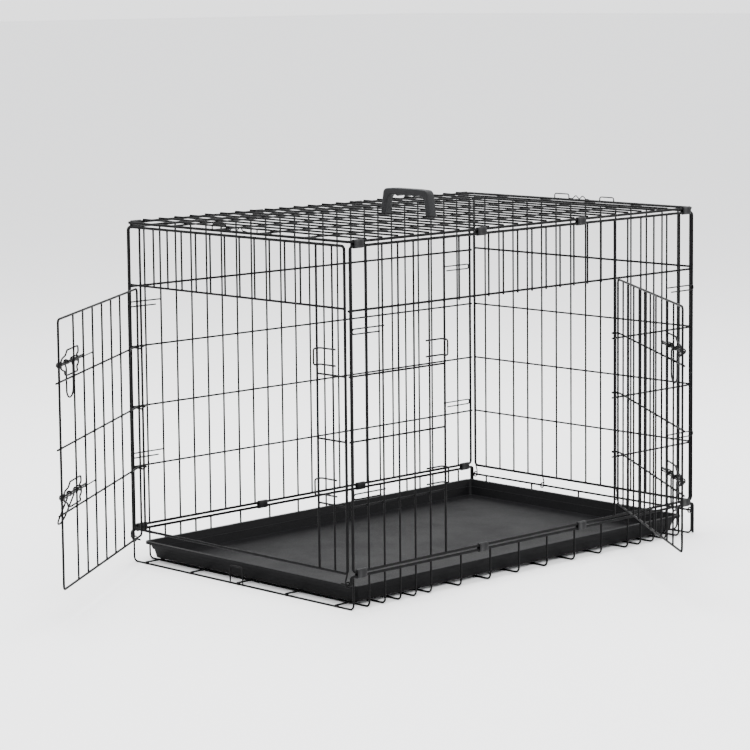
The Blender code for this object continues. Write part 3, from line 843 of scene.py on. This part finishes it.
def bracket_wires(door, label):
    """The bent loop that stands on the door, and the two staples that the bolt slides in."""
    size = sizes()
    z = door.latch_z(label)
    node = frame["nodes"][f"{door.name}_{label}_bracket"]
    inner, outer = closed_reach(node, [door.opened], door)
    low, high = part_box(node.name)
    half_u = (outer - inner - size.paw) / 2
    half_z = (high.z - low.z - size.paw) / 2
    centre_u = (inner + outer) / 2
    centre_z = (high.z + low.z) / 2
    outline = [
        door.at(centre_u - across * half_u, BRACKET_N, centre_z + up * half_z)
        for across, up in PAW_OUTLINE
    ]
    wires = [(bend(outline, 0.0055, True, 5), size.paw, True)]
    bolt_n = DOOR_STANDOFF + BOLT_STANDOFF
    loop = size.bolt / 2 + size.small / 2 + STAPLE_GAP
    root_n = BRACKET_N - STAPLE_ROOT
    for across in STAPLE_PLACES:
        u = centre_u - across * half_u
        staple = [door.at(u, root_n, z + loop)]
        for angle in angles(90, -180, 8):
            n = bolt_n + loop * math.cos(angle)
            staple.append(door.at(u, n, z + loop * math.sin(angle)))
        staple.append(door.at(u, root_n, z - loop))
        wires.append((staple, size.small, False))
    return wires


def bolt_wires(door, label):
    """A straight rod with a rounded nose and a flattened heel."""
    size = sizes()
    z = door.latch_z(label)
    node = frame["nodes"][f"{door.name}_{label}_bolt"]
    heel, nose = closed_reach(node, [door.opened], door)
    n = DOOR_STANDOFF + BOLT_STANDOFF
    points = []
    radii = []
    for step in range(6):
        angle = math.pi / 2 * step / 5
        points.append(door.at(nose - size.bolt / 2 * (1 - math.sin(angle)), n, z))
        radii.append(max(math.cos(angle), 0.08))
    points.reverse()
    radii.reverse()
    return [*points, door.at(heel + 0.0008, n, z), door.at(heel, n, z)], [*radii, 1.0, 0.7]


def rod(name, points, radii, diameter):
    """A rod whose radius changes along it."""
    clear_selection()
    curve = bpy.data.curves.new(name, "CURVE")
    curve.dimensions = "3D"
    curve.bevel_depth = diameter / 2
    curve.bevel_resolution = 6
    curve.use_fill_caps = True
    spline = curve.splines.new("POLY")
    spline.points.add(len(points) - 1)
    for point, place, radius in zip(spline.points, points, radii):
        point.co = (*place, 1.0)
        point.radius = radius
    choose(link(name, curve))
    bpy.ops.object.convert(target="MESH")
    piece = bpy.context.object
    smooth(piece, 50.0)
    return piece


def tail_wires(door, label):
    """The long loop that hangs from the bolt, each strand curled once round it."""
    size = sizes()
    z = door.latch_z(label)
    name = f"{door.name}_{label}_tail"
    node = frame["nodes"][name]
    chain = [door.opened, from_low_end(name + "_hinge")]
    inner, outer = closed_reach(node, chain, door)
    back = (chain[1] @ chain[0]).inverted()
    foot = min((back @ vertex.co).z for vertex in node.data.vertices) + size.paw / 2
    strands = (inner + size.paw / 2, outer - size.paw / 2)
    n = DOOR_STANDOFF + BOLT_STANDOFF
    curl = size.bolt / 2 + size.paw / 2 + 0.0002
    width = (strands[1] - strands[0]) / 2
    middle_u = sum(strands) / 2
    left = []
    for angle in angles(230, -290, 12):
        left.append(door.at(strands[0], n + curl * math.cos(angle), z + curl * math.sin(angle)))
    right = [place + door.along * (strands[1] - strands[0]) for place in reversed(left)]
    legs = [door.at(u, n, z - curl * 2.4) for u in strands]
    arc = []
    for step in range(15):
        angle = math.pi * (1 + step / 14)
        u = middle_u + width * math.cos(angle)
        arc.append(door.at(u, n, foot + width * 0.8 + width * 0.8 * math.sin(angle)))
    return [([*left, legs[0], *arc, legs[1], *right], size.paw, False)], chain


def keeper_wires(door, label):
    """A bent loop on the jamb that the shot bolt passes into."""
    size = sizes()
    node = f"{door.name}_{label}_keeper"
    low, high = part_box(node)
    z = (low.z + high.z) / 2
    half = (high.z - low.z - size.paw) / 2
    reach = sorted(
        ((corner - door.hinge).dot(door.along), (corner - door.hinge).dot(door.out))
        for corner in (low, high)
    )
    near, far = reach[0][0] + size.paw / 2, reach[1][0]
    ns = sorted(pair[1] for pair in reach)
    skin, top = ns[0] + size.paw / 2, ns[1] - size.paw / 2
    path = [
        door.at(far, skin, z - half),
        door.at(near, skin, z - half),
        door.at(near, top, z - half),
        door.at(near, top, z + half),
        door.at(near, skin, z + half),
        door.at(far, skin, z + half),
    ]
    return [(bend(path, 0.0048), size.paw, False)]


# Small wire and sheet pieces -------------------------------------------------------


def hook_wire(node):
    """A hairpin: two strands beside each other, turned round at the panel's corner."""
    size = sizes()
    low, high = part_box(node)
    y = (low.y + high.y) / 2
    end = -1 if (low.x + high.x) < 0 else 1
    radius = (high.z - low.z - size.small) / 2
    z = (low.z + high.z) / 2
    inner, outer = sorted((abs(low.x), abs(high.x)))
    centre = outer - size.small / 2 - radius
    path = [(end * inner, y, z + radius)]
    for step in range(11):
        angle = math.pi / 2 - math.pi * step / 10
        x = centre + radius * math.cos(angle)
        path.append((end * x, y, z + radius * math.sin(angle)))
    path.append((end * (inner + HOOK_STRAND_SET), y, z - radius))
    return path, size.small, False


def loop_wire(node):
    """A bent loop that stands on the roof's end wire."""
    size = sizes()
    low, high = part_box(node)
    thick = size.small * 0.9
    x = (low.x + high.x) / 2
    foot = ROOF_Z + 0.0005
    top = high.z - thick / 2
    near, far = low.y + thick / 2, high.y - thick / 2
    path = [(x, near, foot), (x, near, top), (x, far, top), (x, far, foot)]
    return bend(path, 0.005), thick, False


def spring_wire(end):
    """The zigzag of sprung wire between the roof's bracket and hook."""
    z = ROOF_Z + sizes().rail / 2
    path = [(end * TUBE, y, z + rise) for y, rise in SPRING_PROFILE]
    return bend(path, 0.0025, False, 4), sizes().small * 0.75, False


def extrude(step):
    bpy.ops.mesh.extrude_region_move(TRANSFORM_OT_translate={"value": step})


def turn_faces_out():
    """Turns every face of the mesh being edited outwards, and leaves edit mode."""
    bpy.ops.mesh.select_all(action="SELECT")
    bpy.ops.mesh.normals_make_consistent(inside=False)
    bpy.ops.object.mode_set(mode="OBJECT")


def thicken(piece, thickness, offset):
    shell = piece.modifiers.new("sheet", "SOLIDIFY")
    shell.thickness = thickness
    shell.offset = offset


def round_edges(piece, width, segments, sharpest):
    """Rounds the edges that turn by more than an angle, and applies the piece's modifiers."""
    edge = piece.modifiers.new("edges", "BEVEL")
    edge.width = width
    edge.segments = segments
    edge.limit_method = "ANGLE"
    edge.angle_limit = math.radians(sharpest)
    for modifier in list(piece.modifiers):
        bpy.ops.object.modifier_apply(modifier=modifier.name)


def clip_band(rise, reach):
    """A pressed band round two rails, one above the other, with a collar at each end."""
    size = sizes()
    inner = size.edge / 2 + CLIP_GAP
    clear_selection()
    bpy.ops.mesh.primitive_circle_add(vertices=24, radius=inner, location=(0, 0, 0))
    band = bpy.context.object
    band.data.transform(Matrix.Rotation(math.pi / 2, 4, "Y"))
    for vertex in band.data.vertices:
        if vertex.co.z > 0.0:
            vertex.co.z += rise
    band.data.transform(Matrix.Translation((-reach, 0, 0)))
    bpy.ops.object.mode_set(mode="EDIT")
    bpy.ops.mesh.select_all(action="SELECT")
    collar = reach * COLLAR_SHARE
    waist = 2 * (reach - collar) - 2 * COLLAR_STEP
    narrowing = ((collar, 1.0), (COLLAR_STEP, 0.9), (waist, 1.0), (COLLAR_STEP, 1 / 0.9), (collar, 1.0))
    for step, grow in narrowing:
        extrude((step, 0, 0))
        if grow != 1.0:
            bpy.ops.transform.resize(value=(1, grow, 1), center_override=(0, 0, rise / 2))
    turn_faces_out()
    thicken(band, size.clip, 1.0)
    round_edges(band, 0.0003, 2, 30)
    smooth(band)
    return band


# Moulded pieces -----------------------------------------------------------------


def handle_piece():
    """An arch whose feet straddle two roof wires, with finger grooves under its grip."""
    size = sizes()
    low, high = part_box("handle")
    foot_y = HALF_WIDTH / ROOF_ROWS
    slot = size.wire / 2 + HANDLE_SLOT_GAP
    outer = high.y - HANDLE_SET_IN
    inner = 2 * foot_y - outer
    top = high.z
    slot_top = ROOF_Z + slot
    under = top - GRIP_DEPTH
    right = [(foot_y + slot, low.z), (outer, low.z), (outer, ROOF_Z + 0.010)]
    shoulder = 0.012
    crown = outer - 0.006
    for step in range(7):
        angle = math.pi / 2 * step / 6
        right.append(
            (crown - shoulder * (1 - math.cos(angle)),
             top - shoulder * (1 - math.sin(angle)) - 0.0012)
        )
    right.append((crown - 0.034, top))
    across = [(-y, z) for y, z in reversed(right)]
    left_slot = [(-foot_y - slot, slot_top), (-foot_y + slot, slot_top)]
    inside = [(-foot_y + slot, low.z), (-inner, low.z), (-inner + 0.004, under - 0.012)]
    grip = inner - 0.010
    steps = 8 * GRIP_WAVES
    for step in range(steps + 1):
        y = -grip + 2 * grip * step / steps
        wave = math.sin(math.pi * GRIP_WAVES * step / steps) ** 2
        inside.append((y, under - GROOVE_DEPTH * (1 - math.sqrt(wave))))
    rest = [(inner - 0.004, under - 0.012), (inner, low.z), (foot_y - slot, low.z)]
    right_slot = [(foot_y - slot, slot_top), (foot_y + slot, slot_top)]
    outline = right + across + left_slot + inside + rest + right_slot
    verts = [(low.x, y, z) for y, z in outline]
    mesh = bpy.data.meshes.new("crate_handle")
    mesh.from_pydata(verts, [], [list(range(len(verts)))])
    piece = link("crate_handle", mesh)
    choose(piece)
    bpy.ops.object.mode_set(mode="EDIT")
    bpy.ops.mesh.select_all(action="SELECT")
    extrude((high.x - low.x, 0, 0))
    turn_faces_out()
    round_edges(piece, size.handle_edge, 4, 60)
    smooth(piece, 40.0)
    return piece


def keep_inner_face(piece):
    """Leaves only the wide face in the middle selected, which is the one still to be shaped."""
    mesh = bmesh.from_edit_mesh(piece.data)
    centre = min(
        mesh.faces, key=lambda face: (face.calc_center_median().xy.length > 1e-4, -face.calc_area())
    )
    bpy.ops.mesh.select_all(action="DESELECT")
    centre.select = True
    mesh.select_flush_mode()
    bmesh.update_edit_mesh(piece.data)


def tray_piece():
    """A shallow moulded tray: turned-down lip, flange, sloping walls and a stepped floor."""
    size = sizes()
    low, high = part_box("tray")
    clear_selection()
    bpy.ops.mesh.primitive_plane_add(size=2.0, location=(0, 0, 0))
    piece = bpy.context.object
    piece.name = "moulded_tray"
    middle_x = (low.x + high.x) / 2
    for vertex in piece.data.vertices:
        vertex.co.x *= (high.x - low.x) / 2
        vertex.co.y *= (high.y - low.y) / 2
    bpy.ops.object.mode_set(mode="EDIT")
    bpy.ops.mesh.select_all(action="SELECT")
    bpy.ops.mesh.bevel(offset=TRAY_CORNER, segments=8, affect="VERTICES")
    depth = high.z - low.z - size.tray_wall
    bpy.ops.mesh.select_all(action="SELECT")
    bpy.ops.mesh.inset(thickness=TRAY_LIP, depth=0.0, use_even_offset=True)
    keep_inner_face(piece)
    half_x, half_y = (high.x - low.x) / 2 - TRAY_LIP, (high.y - low.y) / 2 - TRAY_LIP
    for inwards, share, step_up in TRAY_RINGS:
        extrude((0, 0, step_up - depth * share))
        closer = ((half_x - inwards) / half_x, (half_y - inwards) / half_y, 1)
        bpy.ops.transform.resize(value=closer, center_override=(0, 0, 0))
        half_x -= inwards
        half_y -= inwards
    bpy.ops.mesh.select_all(action="DESELECT")
    bpy.ops.mesh.select_mode(type="EDGE")
    mesh = bmesh.from_edit_mesh(piece.data)
    for edge in mesh.edges:
        edge.select = edge.is_boundary
    bmesh.update_edit_mesh(piece.data)
    extrude((0, 0, -TRAY_LIP_DROP))
    bpy.ops.mesh.select_mode(type="VERT")
    turn_faces_out()
    if piece.data.polygons[0].normal.z < 0:
        piece.data.flip_normals()
    piece.data.transform(Matrix.Translation((middle_x, 0, high.z)))
    thicken(piece, size.tray_wall - 0.0001, -1.0)
    round_edges(piece, 0.0008, 3, 24)
    smooth(piece, 30.0)
    return piece


# Operators ----------------------------------------------------------------------


class CRATE_OT_sides(bpy.types.Operator):
    """Bend and weld the two long sides"""

    bl_idname = "crate.sides"
    bl_label = "Sides"

    def execute(self, context):
        for side, body in ((-1, "front_side"), (1, "back_side")):
            welded(body + "_wires", side_wires(side), body, body + "_panel")
        return {"FINISHED"}


class CRATE_OT_roof(bpy.types.Operator):
    """Bend and weld the roof"""

    bl_idname = "crate.roof"
    bl_label = "Roof"

    def execute(self, context):
        welded("roof_wires", roof_wires(), "roof", "roof_panel")
        return {"FINISHED"}


class CRATE_OT_ends(bpy.types.Operator):
    """Bend and weld the two ends with their hinge loops"""

    bl_idname = "crate.ends"
    bl_label = "Ends"

    def execute(self, context):
        for end, body in ((-1, "left_end"), (1, "right_end")):
            welded(body + "_wires", end_wires(end), body, body + "_panel")
        return {"FINISHED"}


class CRATE_OT_base(bpy.types.Operator):
    """Bend and weld the floor grid"""

    bl_idname = "crate.base"
    bl_label = "Base"

    def execute(self, context):
        welded("base_wires", base_wires(), "base", "base_grid")
        return {"FINISHED"}


class CRATE_OT_doors(bpy.types.Operator):
    """Bend and weld the two doors, and swing them open"""

    bl_idname = "crate.doors"
    bl_label = "Doors"

    def execute(self, context):
        for door in make_doors():
            welded(door.name + "_wires", door_wires(door), door.name, door.name, [door.opened])
        return {"FINISHED"}


class CRATE_OT_latches(bpy.types.Operator):
    """Bend the latch brackets, slide bolts and tails"""

    bl_idname = "crate.latches"
    bl_label = "Latches"

    def execute(self, context):
        for door in make_doors():
            for label in ("low", "high"):
                stem = f"{door.name}_{label}"
                bracket = bent_wires(stem + "_paw_bracket", bracket_wires(door, label))
                shift(bracket, [door.opened])
                settle(bracket, "latch_wire", door.name, "coated_wire", stem + "_bracket")
                points, radii = bolt_wires(door, label)
                bolt = rod(stem + "_slide_bolt", points, radii, sizes().bolt)
                shift(bolt, [door.opened])
                settle(bolt, "latch_wire", stem + "_bolt", "latch_wire", stem + "_bolt")
                wires, chain = tail_wires(door, label)
                tail = bent_wires(stem + "_tail_loop", wires)
                shift(tail, chain)
                settle(tail, "latch_wire", stem + "_tail", "latch_wire", stem + "_tail")
        return {"FINISHED"}


class CRATE_OT_keepers(bpy.types.Operator):
    """Bend the keepers that hold the shot bolts"""

    bl_idname = "crate.keepers"
    bl_label = "Keepers"

    def execute(self, context):
        for door, body in zip(make_doors(), ("front_side", "left_end")):
            for label in ("low", "high"):
                node = f"{door.name}_{label}_keeper"
                piece = bent_wires(node + "_loop", keeper_wires(door, label))
                settle(piece, "latch_wire", body, "coated_wire", node)
        return {"FINISHED"}


class CRATE_OT_clips(bpy.types.Operator):
    """Press the sheet-metal clips that join the sides to the base and the roof"""

    bl_idname = "crate.clips"
    bl_label = "Hinge Clips"

    def execute(self, context):
        rise = SIDE_FOOT_Z - BASE_RAIL_Z
        pattern = clip_band(rise, CLIP_REACH)
        pattern.name = "clip_pattern"
        for label, side in (("front", -1), ("back", 1)):
            for level, z, body in (("base", BASE_RAIL_Z, "base"), ("roof", SIDE_TOP_Z, "roof")):
                for number in range(CLIPS_PER_RAIL):
                    node = f"{label}_{level}_clip_{number}"
                    place = Matrix.Translation((middle(node).x, side * HALF_WIDTH, z))
                    mesh = pattern.data.copy()
                    mesh.transform(place)
                    piece = link(node + "_band", mesh)
                    settle(piece, "clip_sheet", body, "hinge_clips", node)
        bpy.data.objects.remove(pattern)
        return {"FINISHED"}


class CRATE_OT_hooks(bpy.types.Operator):
    """Bend the corner hooks and the loops and springs on the roof's ends"""

    bl_idname = "crate.hooks"
    bl_label = "Hooks and Roof Loops"

    def execute(self, context):
        for body in ("front_side", "back_side"):
            side = body.split("_")[0]
            for end in ("left", "right"):
                for height in ("low", "high"):
                    node = f"{side}_{end}_{height}_hook"
                    piece = bent_wires(node + "_hairpin", [hook_wire(node)])
                    settle(piece, "coated_wire", body, "coated_wire", node)
        for end, sign in (("left", -1), ("right", 1)):
            for kind in ("bracket", "hook"):
                node = f"{end}_{kind}_roof_loop"
                piece = bent_wires(node + "_wire", [loop_wire(node)])
                settle(piece, "coated_wire", "roof", "coated_wire", node)
            spring = bent_wires(f"{end}_roof_spring", [spring_wire(sign)])
            settle(spring, "latch_wire", "roof", "coated_wire")
        return {"FINISHED"}


class CRATE_OT_handle(bpy.types.Operator):
    """Mould the carrying handle"""

    bl_idname = "crate.handle"
    bl_label = "Handle"

    def execute(self, context):
        settle(handle_piece(), "handle_plastic", "roof", "handle_plastic", "handle")
        return {"FINISHED"}


class CRATE_OT_tray(bpy.types.Operator):
    """Mould the slide-out tray"""

    bl_idname = "crate.tray"
    bl_label = "Tray"

    def execute(self, context):
        settle(tray_piece(), "tray_plastic", "tray", "tray_plastic", "tray")
        return {"FINISHED"}


class CRATE_OT_tray_stop(bpy.types.Operator):
    """Bend the sprung wire that keeps the tray in"""

    bl_idname = "crate.tray_stop"
    bl_label = "Tray Stop"

    def execute(self, context):
        size = sizes()
        low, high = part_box("tray_stop")
        x = (low.x + high.x) / 2
        near, far = low.y + size.small / 2, high.y - size.small / 2
        top = high.z - size.small / 2
        foot = size.wire * 1.3
        path = [(x, near, foot), (x, near, top), (x, far, top), (x, far, foot)]
        piece = bent_wires("tray_stop_loop", [(bend(path, RAIL_BEND), size.small, False)])
        settle(piece, "coated_wire", "base", "coated_wire", "tray_stop")
        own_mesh(piece)
        return {"FINISHED"}


def area_light(name, place, target, size, power):
    light = bpy.data.lights.new(name, "AREA")
    light.energy = power
    light.shape = "RECTANGLE"
    light.size, light.size_y = size
    lamp = link(name, light)
    lamp.location = place
    lamp.rotation_euler = (Vector(target) - Vector(place)).to_track_quat("-Z", "Y").to_euler()


class CRATE_OT_stage(bpy.types.Operator):
    """Set the pale floor, the soft lights and the camera"""

    bl_idname = "crate.stage"
    bl_label = "Stage"

    def execute(self, context):
        clear_selection()
        bpy.ops.mesh.primitive_plane_add(size=160.0, location=(0, 0, 0))
        floor = bpy.context.object
        floor.name = "studio_floor"
        finish_floor = bpy.data.materials.new("studio_floor")
        finish_floor.use_nodes = True
        shader = finish_floor.node_tree.nodes["Principled BSDF"]
        shader.inputs["Base Color"].default_value = (*colours().floor, 1.0)
        shader.inputs["Roughness"].default_value = 0.75
        floor.data.materials.append(finish_floor)

        world = bpy.data.worlds.new("studio_air")
        world.use_nodes = True
        air = world.node_tree.nodes["Background"]
        air.inputs["Color"].default_value = (0.97, 0.975, 0.985, 1.0)
        air.inputs["Strength"].default_value = 2.2
        context.scene.world = world
        for name, place, size, power in LIGHTS:
            area_light(name, place, (0.0, 0.0, 0.35), size, power)

        yaw, pitch, roll = [math.radians(turn) for turn in CAMERA_TURN]
        look = Vector(
            (math.sin(yaw) * math.cos(pitch), math.cos(yaw) * math.cos(pitch), -math.sin(pitch))
        )
        across = look.cross(Vector((0, 0, 1))).normalized()
        up = across.cross(look)
        right = across * math.cos(roll) + up * math.sin(roll)
        rise = up * math.cos(roll) - across * math.sin(roll)
        camera = link("camera", bpy.data.cameras.new("camera"))
        turn = Matrix((right, rise, -look)).transposed().to_4x4()
        camera.matrix_world = Matrix.Translation(CAMERA_PLACE) @ turn
        camera.data.sensor_width = 36.0
        camera.data.lens = CAMERA_LENS
        camera.data.shift_y = CAMERA_SHIFT
        camera.data.clip_end = 300.0
        context.scene.camera = camera
        return {"FINISHED"}


OPERATORS = (
    CRATE_OT_stage,
    CRATE_OT_base,
    CRATE_OT_sides,
    CRATE_OT_roof,
    CRATE_OT_ends,
    CRATE_OT_doors,
    CRATE_OT_latches,
    CRATE_OT_keepers,
    CRATE_OT_clips,
    CRATE_OT_hooks,
    CRATE_OT_handle,
    CRATE_OT_tray,
    CRATE_OT_tray_stop,
)


class CRATE_PT_panel(bpy.types.Panel):
    """Lists the crate's pieces, sizes and colours"""

    bl_idname = "CRATE_PT_panel"
    bl_label = "Wire Dog Crate"
    bl_space_type = "VIEW_3D"
    bl_region_type = "UI"
    bl_category = "Crate"

    def draw(self, context):
        layout = self.layout
        for operator in OPERATORS:
            layout.operator(operator.bl_idname)
        for group in (context.scene.crate_sizes, context.scene.crate_colours):
            column = layout.column()
            for name in group.__annotations__:
                column.prop(group, name)


CLASSES = (CrateSizes, CrateColours, *OPERATORS, CRATE_PT_panel)


def register():
    for cls in CLASSES:
        bpy.utils.register_class(cls)
    bpy.types.Scene.crate_sizes = bpy.props.PointerProperty(type=CrateSizes)
    bpy.types.Scene.crate_colours = bpy.props.PointerProperty(type=CrateColours)


def unregister():
    del bpy.types.Scene.crate_colours
    del bpy.types.Scene.crate_sizes
    for cls in reversed(CLASSES):
        bpy.utils.unregister_class(cls)


def main():
    register()
    for operator in OPERATORS:
        area, name = operator.bl_idname.split(".")
        getattr(getattr(bpy.ops, area), name)()


if __name__ == "__main__":
    main()
